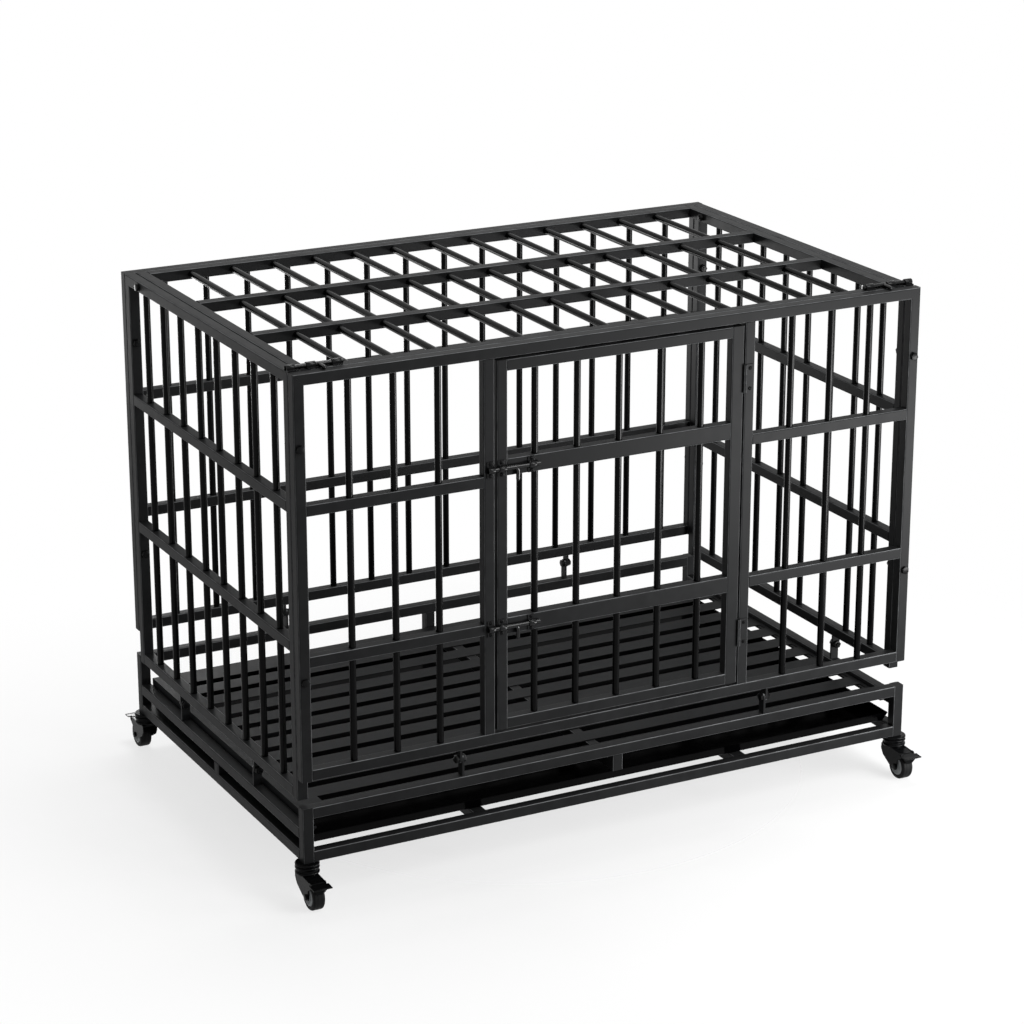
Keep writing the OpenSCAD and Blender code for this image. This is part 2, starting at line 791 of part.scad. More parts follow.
module hub() {
    half = wheel_w / 2;
    wheel_spin() difference() {
        translate([0, -half - 0.5]) square([hub_r - tyre_seat, wheel_w + 1]);
        translate([0, -half - 1]) square([axle_r + axle_fit, wheel_w + 2]);
        for (s = [-1, 1]) translate([hub_r * 0.66, s * (half + 1)]) circle(2.5);
    }
}

module tyre() {
    half = wheel_w / 2;
    edge = 4;
    wheel_spin() {
        translate([hub_r, -half]) square([wheel_d / 2 - hub_r - edge, wheel_w]);
        translate([hub_r, -half + edge]) square([wheel_d / 2 - hub_r, wheel_w - 2 * edge]);
        for (s = [-1, 1]) translate([wheel_d / 2 - edge, s * (half - edge)]) circle(edge);
    }
}

// Toe pedal: narrow between the fork legs, wide at the tip, with a brake tab before the tread
pedal_half = fork_in - 0.5;
tip_half = fork_out + 3;
module pedal() {
    difference() {
        union() {
            across(-pedal_half, pedal_half) {
                polygon([[pedal_u - pedal_back, pedal_z + 2.6], [pedal_u - pedal_back, pedal_z + 4.6],
                    [pedal_u + 12, pedal_z + 2], [pedal_u + 12, pedal_z]]);
                translate([pedal_u, pedal_z]) circle(4);
            }
            across(-tip_half, tip_half) {
                polygon([[pedal_u + 7, pedal_z + 0.4], [pedal_u + 7, pedal_z + 2.4],
                    [pedal_tip, pedal_z + 1.2], [pedal_tip, pedal_z - 0.8]]);
                translate([pedal_tip, pedal_z + 0.4]) circle(1.4);
            }
            intersection() {
                across(-pedal_half, pedal_half) translate([pedal_u + 10, pedal_z - 13.5]) square([2, 15]);
                translate([0, 0, pedal_z - 13.5]) rotate([90, 0, 0]) linear_extrude(pedal_tip + 10)
                    polygon([[-5, 0], [5, 0], [pedal_half, 7], [pedal_half, 16], [-pedal_half, 16],
                        [-pedal_half, 7]]);
            }
        }
        across(-fork_out, fork_out) translate([pedal_u, pedal_z]) circle(pedal_pin_r + pedal_fit);
    }
}

module front_left_fork() color(coat) at_caster(-side_x, front_y) fork();
module front_left_axles() color(zinc) at_caster(-side_x, front_y) axles();
module front_left_hub() color(hub_grey) at_caster(-side_x, front_y) hub();
module front_left_tyre() color(tyre_black) at_caster(-side_x, front_y) tyre();
module front_left_pedal() color(coat) at_caster(-side_x, front_y) pedal();
module front_right_fork() color(coat) at_caster(side_x, front_y) fork();
module front_right_axles() color(zinc) at_caster(side_x, front_y) axles();
module front_right_hub() color(hub_grey) at_caster(side_x, front_y) hub();
module front_right_tyre() color(tyre_black) at_caster(side_x, front_y) tyre();
module front_right_pedal() color(coat) at_caster(side_x, front_y) pedal();
module rear_left_fork() color(coat) at_caster(-side_x, -front_y) fork();
module rear_left_axles() color(zinc) at_caster(-side_x, -front_y) axles();
module rear_left_hub() color(hub_grey) at_caster(-side_x, -front_y) hub();
module rear_left_tyre() color(tyre_black) at_caster(-side_x, -front_y) tyre();
module rear_left_pedal() color(coat) at_caster(-side_x, -front_y) pedal();
module rear_right_fork() color(coat) at_caster(side_x, -front_y) fork();
module rear_right_axles() color(zinc) at_caster(side_x, -front_y) axles();
module rear_right_hub() color(hub_grey) at_caster(side_x, -front_y) hub();
module rear_right_tyre() color(tyre_black) at_caster(side_x, -front_y) tyre();
module rear_right_pedal() color(coat) at_caster(side_x, -front_y) pedal();

base_posts();
base_rails();
tray_bearers();
floor_bearers();
slat_floor();
base_lugs();
panel_lugs();
lug_bolts();
corner_bolts();
lid_pivot_bolts();
frame_nuts();
front_frame();
front_bars();
rear_frame();
rear_bars();
left_frame();
left_bars();
right_frame();
right_bars();
jamb_leaves();
hinge_pins();
frame_screws();
keepers();
caster_cups();
door_frame();
door_bars();
door_leaves();
door_guides();
door_screws();
lid_frame();
lid_bars();
lid_guides();
upper_door_bolt();
lower_door_bolt();
left_lid_bolt();
right_lid_bolt();
tray();
front_left_fork();
front_left_axles();
front_left_hub();
front_left_tyre();
front_left_pedal();
front_right_fork();
front_right_axles();
front_right_hub();
front_right_tyre();
front_right_pedal();
rear_left_fork();
rear_left_axles();
rear_left_hub();
rear_left_tyre();
rear_left_pedal();
rear_right_fork();
rear_right_axles();
rear_right_hub();
rear_right_tyre();
rear_right_pedal();
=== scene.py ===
import json
from math import cos, pi, radians, sin

import bmesh
import bpy
from mathutils import Matrix, Vector


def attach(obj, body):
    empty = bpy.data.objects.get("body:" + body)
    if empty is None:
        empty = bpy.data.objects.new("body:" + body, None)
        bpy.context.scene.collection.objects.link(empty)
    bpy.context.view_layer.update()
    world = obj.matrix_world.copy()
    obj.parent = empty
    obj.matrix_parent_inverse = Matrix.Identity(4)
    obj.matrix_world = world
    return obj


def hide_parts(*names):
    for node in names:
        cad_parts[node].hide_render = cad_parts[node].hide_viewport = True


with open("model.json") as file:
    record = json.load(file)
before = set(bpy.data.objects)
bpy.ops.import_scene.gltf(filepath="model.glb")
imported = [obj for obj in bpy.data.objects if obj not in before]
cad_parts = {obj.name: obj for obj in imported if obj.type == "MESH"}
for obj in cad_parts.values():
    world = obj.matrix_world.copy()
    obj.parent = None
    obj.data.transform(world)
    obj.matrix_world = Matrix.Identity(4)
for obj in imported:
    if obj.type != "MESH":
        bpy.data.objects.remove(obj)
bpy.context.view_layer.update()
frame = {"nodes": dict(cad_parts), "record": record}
print("frame loaded:", len(frame["nodes"]), "nodes")

nodes = frame["nodes"]
scene = bpy.context.scene
scene.view_settings.view_transform = "Standard"


# shader helpers: a value is either a plain number or the output that feeds the socket
def addNode(tree, kind, **settings):
    node = tree.nodes.new(kind)
    for key, value in settings.items():
        setattr(node, key, value)
    return node


def feed(tree, socket, value):
    if isinstance(value, (int, float)):
        socket.default_value = value
    else:
        tree.links.new(value, socket)


def noiseAt(tree, vector, scale, detail, roughness):
    noise = addNode(tree, "ShaderNodeTexNoise")
    tree.links.new(vector, noise.inputs["Vector"])
    for label, value in (("Scale", scale), ("Detail", detail), ("Roughness", roughness)):
        feed(tree, noise.inputs[label], value)
    return noise.outputs["Fac"]


def remap(tree, value, source, target):
    node = addNode(tree, "ShaderNodeMapRange", clamp=True)
    tree.links.new(value, node.inputs["Value"])
    labels = ("From Min", "From Max", "To Min", "To Max")
    for label, number in zip(labels, (*source, *target)):
        feed(tree, node.inputs[label], number)
    return node.outputs["Result"]


def combine(tree, operation, *values):
    node = addNode(tree, "ShaderNodeMath", operation=operation)
    for socket, value in zip(node.inputs, values):
        feed(tree, socket, value)
    return node.outputs[0]


# the piece's own normal along its axes; unsigned counts both ways alike
def facing(tree, unsigned):
    normal = addNode(tree, "ShaderNodeTexCoord").outputs["Normal"]
    if unsigned:
        size = addNode(tree, "ShaderNodeVectorMath", operation="ABSOLUTE")
        tree.links.new(normal, size.inputs[0])
        normal = size.outputs[0]
    split = addNode(tree, "ShaderNodeSeparateXYZ")
    tree.links.new(normal, split.inputs[0])
    return split.outputs


# shared shader effects, each a node group
def newGroup(name, inputs, outputs):
    group = bpy.data.node_groups.new(name, "ShaderNodeTree")
    group.interface.new_socket("Vector", in_out="INPUT", socket_type="NodeSocketVector")
    for label in inputs:
        group.interface.new_socket(label, in_out="INPUT", socket_type="NodeSocketFloat")
    for label in outputs:
        group.interface.new_socket(label, in_out="OUTPUT", socket_type="NodeSocketFloat")
    return group, group.nodes.new("NodeGroupInput"), group.nodes.new("NodeGroupOutput")


# orange peel of a sprayed or moulded skin: fine height, slow gloss change
# each noise is (scale, detail, roughness)
skin = dict(fine=(2.0, 0.5), broad=(9.0, 4.0, 0.6), blotch=(46.0, 3.0, 0.55),
            broadShare=0.55, blotchShare=0.45, glossRange=(0.32, 0.68))


def makeSkinGroup():
    group, start, end = newGroup("sprayedSkin", ("Grain", "Gloss Low", "Gloss High"),
                                 ("Height", "Roughness", "Mottle"))
    spot = start.outputs["Vector"]
    fine = noiseAt(group, spot, start.outputs["Grain"], *skin["fine"])
    broad = noiseAt(group, spot, *skin["broad"])
    blotch = noiseAt(group, spot, *skin["blotch"])
    mixed = combine(group, "MULTIPLY_ADD", blotch, skin["blotchShare"],
                    combine(group, "MULTIPLY", broad, skin["broadShare"]))
    gloss = remap(group, mixed, skin["glossRange"],
                  (start.outputs["Gloss Low"], start.outputs["Gloss High"]))
    group.links.new(fine, end.inputs["Height"])
    group.links.new(gloss, end.inputs["Roughness"])
    group.links.new(mixed, end.inputs["Mottle"])
    return group


def makeMaskGroup(name, makeMask):
    group, start, end = newGroup(name, ("Amount",), ("Mask",))
    mask = makeMask(group, start.outputs["Vector"])
    mask = combine(group, "MULTIPLY", mask, start.outputs["Amount"])
    group.links.new(mask, end.inputs["Mask"])
    return group


# dust that settles on what faces up, broken by cloudy noise
dust = dict(upward=(0.35, 0.95), cloud=(22.0, 5.0, 0.65), cloudRange=(0.38, 0.72), thinnest=0.25)


def dustMask(tree, spot):
    upward = remap(tree, facing(tree, False)["Z"], dust["upward"], (0.0, 1.0))
    cloud = noiseAt(tree, spot, *dust["cloud"])
    return combine(tree, "MULTIPLY", upward,
                   remap(tree, cloud, dust["cloudRange"], (dust["thinnest"], 1.0)))


# thin rubbed lines from use, stretched along one direction
scuffs = dict(stretch=(14.0, 260.0, 90.0), turn=(0.2, 0.1, 0.35), lines=(1.0, 3.0, 0.7),
              lineRange=(0.62, 0.74), patches=(5.0, 2.0, 0.5), patchRange=(0.42, 0.62))


def scuffMask(tree, spot):
    stretch = addNode(tree, "ShaderNodeMapping")
    stretch.inputs["Scale"].default_value = scuffs["stretch"]
    stretch.inputs["Rotation"].default_value = scuffs["turn"]
    tree.links.new(spot, stretch.inputs["Vector"])
    lines = noiseAt(tree, stretch.outputs[0], *scuffs["lines"])
    patches = noiseAt(tree, spot, *scuffs["patches"])
    return combine(tree, "MULTIPLY", remap(tree, lines, scuffs["lineRange"], (0.0, 1.0)),
                   remap(tree, patches, scuffs["patchRange"], (0.0, 1.0)))


# painted highlight: rounded tube corners, found from the piece's own normal, get a light tone
# broken up by noise, standing in for the highlight lines the lamps leave on the edges
corners = dict(band=(0.91, 0.79), wearAndPaintedLight=(30.0, 4.0, 0.6), highlightNoiseRange=(0.30, 0.66), least=0.35)


def cornerMask(tree, spot):
    along = facing(tree, True)
    largest = combine(tree, "MAXIMUM", along["X"], along["Y"])
    largest = combine(tree, "MAXIMUM", largest, along["Z"])
    wearAndPaintedLight = noiseAt(tree, spot, *corners["wearAndPaintedLight"])
    return combine(tree, "MULTIPLY", remap(tree, largest, corners["band"], (0.0, 1.0)),
                   remap(tree, wearAndPaintedLight, corners["highlightNoiseRange"], (corners["least"], 1.0)))


skinGroup = makeSkinGroup()
dustGroup = makeMaskGroup("settledDust", dustMask)
scuffGroup = makeMaskGroup("rubbedScuffs", scuffMask)
cornerGroup = makeMaskGroup("paintedCornerHighlight", cornerMask)
print("shader groups made")

# base and light are the two tones of the mottle, gloss the range of roughness, level the
# specular level; dust and scuff are amounts of wear, the corner amount is painted highlight on
# rounded corners and the cut amount painted shade on walls facing along Y
finishes = {
    "powderCoat": dict(base=(0.0090, 0.0092, 0.0095), light=(0.0125, 0.0128, 0.0132),
                       grain=1500.0, gloss=(0.36, 0.46), bump=0.04, level=0.04,
                       dust=0.010, scuff=0.10, corner=0.78),
    # painted shade: the round bars get a near-black copy of the powder coat, so they read darker
    # than the flat tube faces
    "shadedBarCoat": dict(base=(0.0008, 0.0008, 0.0009), light=(0.0016, 0.0017, 0.0018),
                    grain=1500.0, gloss=(0.19, 0.25), bump=0.004, level=0.06,
                    dust=0.004, scuff=0.08),
    "floorCoat": dict(base=(0.0072, 0.0075, 0.0080), light=(0.0112, 0.0117, 0.0122),
                      grain=1400.0, gloss=(0.40, 0.54), bump=0.04, level=0.042,
                      dust=0.015, scuff=0.35, slotShade=0.95),
    "latchBlack": dict(base=(0.0020, 0.0021, 0.0022), light=(0.0040, 0.0042, 0.0044),
                       grain=2200.0, gloss=(0.13, 0.19), bump=0.015, level=0.24,
                       dust=0.004, scuff=0.20),
    "strapCoat": dict(base=(0.0075, 0.0077, 0.0080), light=(0.0110, 0.0113, 0.0116),
                      grain=1800.0, gloss=(0.12, 0.18), bump=0.015, level=0.12,
                      dust=0.004, scuff=0.20),
    "casterBlack": dict(base=(0.0014, 0.0015, 0.0017), light=(0.0028, 0.0029, 0.0032),
                        grain=2000.0, gloss=(0.16, 0.24), bump=0.02, level=0.05,
                        dust=0.006, scuff=0.25),
    "blackBolt": dict(base=(0.0022, 0.0023, 0.0024), light=(0.0050, 0.0051, 0.0054),
                      grain=2600.0, gloss=(0.26, 0.36), bump=0.02, level=0.07,
                      dust=0.004, scuff=0.25),
    "trayGloss": dict(base=(0.0004, 0.0004, 0.0005), light=(0.0008, 0.0008, 0.0010),
                      grain=700.0, gloss=(0.12, 0.20), bump=0.02, level=0.004,
                      dust=0.002, scuff=0.25),
    "hubPlastic": dict(base=(0.290, 0.304, 0.310), light=(0.360, 0.374, 0.382),
                       grain=1700.0, gloss=(0.42, 0.56), bump=0.05, level=0.3,
                       dust=0.06, scuff=0.15),
    "tyreRubber": dict(base=(0.0030, 0.0030, 0.0032), light=(0.0060, 0.0060, 0.0063),
                       grain=1900.0, gloss=(0.50, 0.66), bump=0.10, level=0.08,
                       dust=0.03, scuff=0.20),
}

# what all finishes share: the tone of dusty places, the painted highlight tone of rounded corners,
# the painted shade tone of walls facing along Y, and how they change the gloss
wearAndPaintedLight = dict(mottleRange=(0.35, 0.65), bumpDepth=0.0006,
            rubbedTone=(0.190, 0.195, 0.200), rubbedPolish=0.10,
            slotShadeTone=(0.0004, 0.0004, 0.0004), slotShadeFacing=(0.45, 0.85),
            dustTone=(0.20, 0.195, 0.185), dustRough=0.6, scuffRough=0.22)


def addEffect(tree, group, place, amount):
    effect = addNode(tree, "ShaderNodeGroup", node_tree=group)
    effect.inputs["Amount"].default_value = amount
    tree.links.new(place, effect.inputs["Vector"])
    return effect.outputs["Mask"]


def mixTone(tree, mask, under, over):
    mix = addNode(tree, "ShaderNodeMix", data_type="RGBA")
    factor, below, above = mix.inputs[0], mix.inputs[6], mix.inputs[7]
    tree.links.new(mask, factor)
    if isinstance(under, tuple):
        below.default_value = (*under, 1)
    else:
        tree.links.new(under, below)
    above.default_value = (*over, 1)
    return mix.outputs[2]


def makeFinish(name, look):
    material = bpy.data.materials.new(name)
    material.use_nodes = True
    tree = material.node_tree
    shader = tree.nodes["Principled BSDF"]
    shader.inputs["Specular IOR Level"].default_value = look["level"]
    place = addNode(tree, "ShaderNodeTexCoord").outputs["Object"]
    coat = addNode(tree, "ShaderNodeGroup", node_tree=skinGroup)
    tree.links.new(place, coat.inputs["Vector"])
    for label, value in zip(("Grain", "Gloss Low", "Gloss High"), (look["grain"], *look["gloss"])):
        coat.inputs[label].default_value = value
    settled = addEffect(tree, dustGroup, place, look["dust"])
    scuffed = addEffect(tree, scuffGroup, place, look["scuff"])

    mottle = remap(tree, coat.outputs["Mottle"], wearAndPaintedLight["mottleRange"], (0.0, 1.0))
    tone = mixTone(tree, mottle, look["base"], look["light"])
    rough = combine(tree, "MULTIPLY_ADD", scuffed, wearAndPaintedLight["scuffRough"], coat.outputs["Roughness"])
    rough = combine(tree, "MULTIPLY_ADD", settled, wearAndPaintedLight["dustRough"], rough)
    # painted highlight: rounded corners are lightened towards the highlight tone and made a little
    # glossier
    if "corner" in look:
        rubbed = addEffect(tree, cornerGroup, place, look["corner"])
        tone = mixTone(tree, rubbed, tone, wearAndPaintedLight["rubbedTone"])
        rough = combine(tree, "MULTIPLY_ADD", rubbed, -wearAndPaintedLight["rubbedPolish"], rough)
    # painted shade: walls facing along Y, such as those cut through the sheet across its depth,
    # are darkened almost to black
    if "slotShade" in look:
        slotShadeMask = remap(tree, facing(tree, True)["Y"], wearAndPaintedLight["slotShadeFacing"], (0.0, look["slotShade"]))
        tone = mixTone(tree, slotShadeMask, tone, wearAndPaintedLight["slotShadeTone"])
    tone = mixTone(tree, settled, tone, wearAndPaintedLight["dustTone"])
    tree.links.new(tone, shader.inputs["Base Color"])
    tree.links.new(rough, shader.inputs["Roughness"])

    bump = addNode(tree, "ShaderNodeBump")
    bump.inputs["Strength"].default_value = look["bump"]
    bump.inputs["Distance"].default_value = wearAndPaintedLight["bumpDepth"]
    tree.links.new(coat.outputs["Height"], bump.inputs["Height"])
    tree.links.new(bump.outputs["Normal"], shader.inputs["Normal"])
    return material


def dress(obj, material):
    obj.data.materials.clear()
    obj.data.materials.append(material)


finish = {name: makeFinish(name, look) for name, look in finishes.items()}
slotFinish = {"powder_coat": "powderCoat", "floor_coat": "floorCoat", "hardware": "blackBolt",
              "tray_plastic": "trayGloss", "hub_plastic": "hubPlastic",
              "tyre_rubber": "tyreRubber"}
latchNodes = ("upper_door_bolt", "lower_door_bolt", "left_lid_bolt", "right_lid_bolt")
strapNodes = ("keepers", "door_guides", "lid_guides")


def lookOf(name, slotName):
    if name.endswith("_bars"):
        return "shadedBarCoat"
    if name in latchNodes:
        return "latchBlack"
    if name in strapNodes:
        return "strapCoat"
    if name == "caster_cups" or name.endswith(("_fork", "_pedal")):
        return "casterBlack"
    return slotFinish[slotName]


for part in frame["record"]["subparts"]:
    dress(nodes[part["node"]], finish[lookOf(part["node"], part["material_slot"])])

# (place of the stem, turn) of each caster
casters = {"front_left": (-0.600, -0.376, 0), "front_right": (0.600, -0.376, 0),
           "rear_left": (-0.600, 0.376, 180), "rear_right": (0.600, 0.376, 180)}

# pressed and cut sheet keeps a fine broken edge instead of a knife edge
edgeBreak = {"slat_floor": 0.0005, "tray": 0.0005, "tray_bearers": 0.0005,
             "floor_bearers": 0.0005, "keepers": 0.0004, "door_guides": 0.0004,
             "lid_guides": 0.0004, "jamb_leaves": 0.0004, "door_leaves": 0.0004}
for caster in casters:
    edgeBreak[caster + "_fork"] = 0.0005
    edgeBreak[caster + "_pedal"] = 0.0006
edgeStyle = dict(join=0.00001, steps=2, angle=40)

for name, width in edgeBreak.items():
    weld = nodes[name].modifiers.new("joinFaces", "WELD")
    weld.merge_threshold = edgeStyle["join"]
    broken = nodes[name].modifiers.new("brokenEdge", "BEVEL")
    broken.width = width
    broken.segments = edgeStyle["steps"]
    broken.limit_method = "ANGLE"
    broken.angle_limit = radians(edgeStyle["angle"])
    broken.harden_normals = True
print("edges broken on", len(edgeBreak), "nodes")

# how a hardware mesh is closed up and shaded
meshEnd = dict(join=0.000002, hardwareSharp=30, wheelSharp=32)


def addShape(build, matrix, maker, **settings):
    before = set(build.verts)
    maker(build, **settings)
    fresh = [vert for vert in build.verts if vert not in before]
    bmesh.ops.transform(build, matrix=matrix, verts=fresh)


def endPiece(name, build, look, body, replaced, sharp):
    bmesh.ops.remove_doubles(build, verts=build.verts, dist=meshEnd["join"])
    bmesh.ops.recalc_face_normals(build, faces=build.faces)
    mesh = bpy.data.meshes.new(name)
    build.to_mesh(mesh)
    build.free()
    for face in mesh.polygons:
        face.use_smooth = True
    mesh.set_sharp_from_angle(angle=radians(sharp))
    piece = bpy.data.objects.new(name, mesh)
    scene.collection.objects.link(piece)
    dress(piece, finish[look])
    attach(piece, body)
    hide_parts(replaced)


# a profile of (radius, height) turned about local Z
def turned(build, profile, steps, closed=False):
    verts = [build.verts.new((radius, 0, height)) for radius, height in profile]
    pairs = list(zip(verts, verts[1:])) + ([(verts[-1], verts[0])] if closed else [])
    edges = [build.edges.new(pair) for pair in pairs]
    bmesh.ops.spin(build, geom=verts + edges, cent=(0, 0, 0), axis=(0, 0, 1), angle=2 * pi,
                   steps=steps, use_merge=True, use_duplicate=False)


def softenEdges(build, edges, offset):
    bmesh.ops.bevel(build, geom=edges, offset=offset, offset_type="OFFSET", affect="EDGES",
                    segments=2, profile=0.5, material=-1)


def hexBlock(build, across, height, chamfer):
    radius = across / 3 ** 0.5
    made = bmesh.ops.create_cone(build, cap_ends=True, cap_tris=False, segments=6,
                                 radius1=radius, radius2=radius, depth=height,
                                 matrix=Matrix.Translation((0, 0, height / 2)))
    crown = [edge for edge in {e for v in made["verts"] for e in v.link_edges}
             if all(v.co.z > height - 1e-6 for v in edge.verts)]
    softenEdges(build, crown, chamfer)


# pan head screw with a cross recess, head along +Z from its seat
screwHead = dict(radius=0.0036, height=0.0023, rim=0.00015, slotLong=0.0021, slotWide=0.00055,
                 slotDeep=0.0011, slotTaper=0.5, rings=9, steps=40)


def panScrew(build):
    r, h, rings = screwHead["radius"], screwHead["height"], screwHead["rings"]
    wide, far = screwHead["slotWide"], screwHead["slotLong"]
    dome = (r * r + h * h) / (2 * h)
    profile = [(r, 0.0), (r, screwHead["rim"])]
    for i in range(1, rings + 1):
        out = r * (1 - i / rings)
        profile.append((max(out, 0.0), (dome * dome - out * out) ** 0.5 - (dome - h)))
    before = set(build.verts)
    turned(build, profile, screwHead["steps"])
    for vert in build.verts:
        if vert in before:
            continue
        x, y = abs(vert.co.x), abs(vert.co.y)
        if (x < wide and y < far) or (y < wide and x < far):
            vert.co.z -= screwHead["slotDeep"] * (1 - screwHead["slotTaper"] * max(x, y) / far)


# seat is the straps' front, rails the bolt rods, off and hingeOff the screws above and below
screwPlaces = dict(seat=-0.3875, rails=(0.4415, 0.7265), off=0.01075, keeper=-0.254,
                   guides=(-0.233, -0.176), hinge=0.25475, hinges=(0.347, 0.819),
                   hingeOff=0.01836, firstTurn=17, guideTurn=31, hingeTurn=47)


def outward(x, z, turn):
    return (Matrix.Translation((x, screwPlaces["seat"], z))
            @ Matrix.Rotation(radians(90), 4, "X") @ Matrix.Rotation(radians(turn), 4, "Z"))


def makeScrews():
    frameScrews, doorScrews = bmesh.new(), bmesh.new()
    turn = screwPlaces["firstTurn"]
    for rail in screwPlaces["rails"]:
        for side in (-1, 1):
            z = rail + side * screwPlaces["off"]
            addShape(frameScrews, outward(screwPlaces["keeper"], z, turn), panScrew)
            for x in screwPlaces["guides"]:
                turn += screwPlaces["guideTurn"]
                addShape(doorScrews, outward(x, z, turn), panScrew)
    for middle in screwPlaces["hinges"]:
        for side in (-1, 1):
            turn += screwPlaces["hingeTurn"]
            z = middle + side * screwPlaces["hingeOff"]
            addShape(frameScrews, outward(screwPlaces["hinge"], z, turn), panScrew)
    endPiece("frameScrewHeads", frameScrews, "blackBolt", "crate", "frame_screws",
             meshEnd["hardwareSharp"])
    endPiece("doorScrewHeads", doorScrews, "blackBolt", "door", "door_screws",
             meshEnd["hardwareSharp"])


makeScrews()
print("screws made")

# M8 bolts: head along -Z from its seat, shank along +Z
bolt = dict(across=0.01296, head=0.0048, nut=0.0064, shank=0.004, tip=0.002, chamfer=0.0007,
            pitch=0.00125, root=0.90, point=0.82, sunk=0.0004, steps=24, turn=23,
            nutFace=0.40, nutFaceLift=0.00002, nutTurn=1.7)


def hexBolt(build, grip):
    down = Matrix.Rotation(pi, 4, "X")
    addShape(build, down, hexBlock, across=bolt["across"], height=bolt["head"],
             chamfer=bolt["chamfer"])
    r, pitch, sunk = bolt["shank"], bolt["pitch"], bolt["sunk"]
    z, end = grip + bolt["nut"] - sunk, grip + bolt["nut"] + bolt["tip"]
    profile = [(0.0, -sunk), (r, -sunk), (r, grip / 2), (r, z)]
    while z + pitch < end - sunk:
        profile += [(r * bolt["root"], z + pitch / 2), (r, z + pitch)]
        z += pitch
    turned(build, profile + [(r * bolt["point"], end), (0.0, end)], bolt["steps"])


def hexNut(build):
    hexBlock(build, bolt["across"], bolt["nut"], bolt["chamfer"])
    top = bolt["nut"] + bolt["nutFaceLift"]
    turned(build, [(bolt["shank"], top), (bolt["across"] * bolt["nutFace"], top)], bolt["steps"])


def along(place, direction, spinAngle):
    turn = Vector(direction).to_track_quat("Z", "Y").to_matrix().to_4x4()
    return Matrix.Translation(place) @ turn @ Matrix.Rotation(radians(spinAngle), 4, "Z")


# one list of (seat of the head, direction of the shank) for each set of bolts
# front and rear lugs are (y, z), left and right lugs (x, z)
lugs = dict(x=0.304, y=0.165, front=(-0.376, 0.209), rear=(0.376, 0.229),
            left=(-0.600, 0.169), right=(0.600, 0.189), grip=0.008)


def lugBolts():
    places = []
    for side in (-1, 1):
        places += [((side * lugs["x"], *lugs[panel]), (side, 0, 0)) for panel in ("front", "rear")]
        for panel in ("left", "right"):
            x, z = lugs[panel]
            places.append(((x, side * lugs["y"], z), (0, side, 0)))
    return places


cornerPosts = dict(x=0.600, y=0.386, heights=(0.4065, 0.81291), grip=0.041)


def cornerBolts():
    return [((end * cornerPosts["x"], side * cornerPosts["y"], z), (0, -side, 0))
            for end in (-1, 1) for z in cornerPosts["heights"] for side in (-1, 1)]


lidPivots = dict(x=0.610, y=0.300, z=0.929, grip=0.0423)


def pivotBolts():
    return [((end * lidPivots["x"], lidPivots["y"], lidPivots["z"]), (-end, 0, 0))
            for end in (-1, 1)]


def makeBolts():
    nuts = bmesh.new()
    angle = 0
    for name, node, places, grip in (
            ("lugBoltSet", "lug_bolts", lugBolts(), lugs["grip"]),
            ("cornerBoltSet", "corner_bolts", cornerBolts(), cornerPosts["grip"]),
            ("pivotBoltSet", "lid_pivot_bolts", pivotBolts(), lidPivots["grip"])):
        bolts = bmesh.new()
        for place, way in places:
            angle += bolt["turn"]
            addShape(bolts, along(place, way, angle), hexBolt, grip=grip)
            far = Vector(place) + Vector(way) * grip
            addShape(nuts, along(far, way, angle * bolt["nutTurn"]), hexNut)
        endPiece(name, bolts, "blackBolt", "crate", node, meshEnd["hardwareSharp"])
    endPiece("nutSet", nuts, "blackBolt", "crate", "frame_nuts",
             meshEnd["hardwareSharp"])


makeBolts()
print("bolts and nuts made")

# caster wheels turn about the axle line, behind the stem by the trail
wheel = dict(radius=0.025, half=0.011, bore=0.0174, trail=0.0256, axle=0.025, steps=72)


def casterPlace(name):
    x, y, turn = casters[name]
    return Matrix.Translation((x, y, 0)) @ Matrix.Rotation(radians(turn), 4, "Z")


def axleLine(name):
    return (casterPlace(name) @ Matrix.Translation((0, -wheel["trail"], wheel["axle"]))
            @ Matrix.Rotation(radians(90), 4, "Y"))


# a side profile of (radius, distance along the axle) and its mirror
def bothSides(side):
    return side + [(radius, -place) for radius, place in reversed(side)]


# lip is (past the bore, past the side), ring (radius, past the side), groove (depth, place)
tyre = dict(lip=((0, -0.0010), (0.0006, -0.0003), (0.0012, 0)),
            ring=((0.0193, 0), (0.0196, -0.0004), (0.0199, 0)), shoulder=0.004, bends=8,
            groove=((0, 0.0042), (0.0004, 0.0039), (0.0004, 0.0035), (0, 0.0032), (0, 0.0002)))


def tyreProfile():
    half, r, shoulder = wheel["half"], wheel["radius"], tyre["shoulder"]
    side = [(wheel["bore"] + out, half + past) for out, past in tyre["lip"]]
    side += [(radius, half + past) for radius, past in tyre["ring"]]
    for i in range(tyre["bends"] + 1):
        bend = radians(90 - i * 90 / tyre["bends"])
        side.append((r - shoulder + shoulder * cos(bend), half - shoulder + shoulder * sin(bend)))
    return bothSides(side + [(r - deep, place) for deep, place in tyre["groove"]])


# face is (radius, past the side of the wheel)
hub = dict(face=((0.0031, 0.0002), (0.0034, 0.0005), (0.0062, 0.0005), (0.0067, 0),
                 (0.0069, -0.0014), (0.0073, -0.0016), (0.0132, -0.0010), (0.0136, -0.0008),
                 (0.0139, 0), (0.0142, 0.0004), (0.0160, 0.0004), (0.0168, -0.0002),
                 (0.0172, -0.0012)),
           ribs=6, ribSize=(0.0072, 0.0016, 0.0214), ribOut=0.0101, ribEdge=0.0003)


def hubProfile():
    return bothSides([(radius, wheel["half"] + past) for radius, past in hub["face"]])


def hubRib(build):
    size = Matrix.Diagonal((*hub["ribSize"], 1))
    made = bmesh.ops.create_cube(build, size=1.0, matrix=size)
    softenEdges(build, list({e for v in made["verts"] for e in v.link_edges}), hub["ribEdge"])


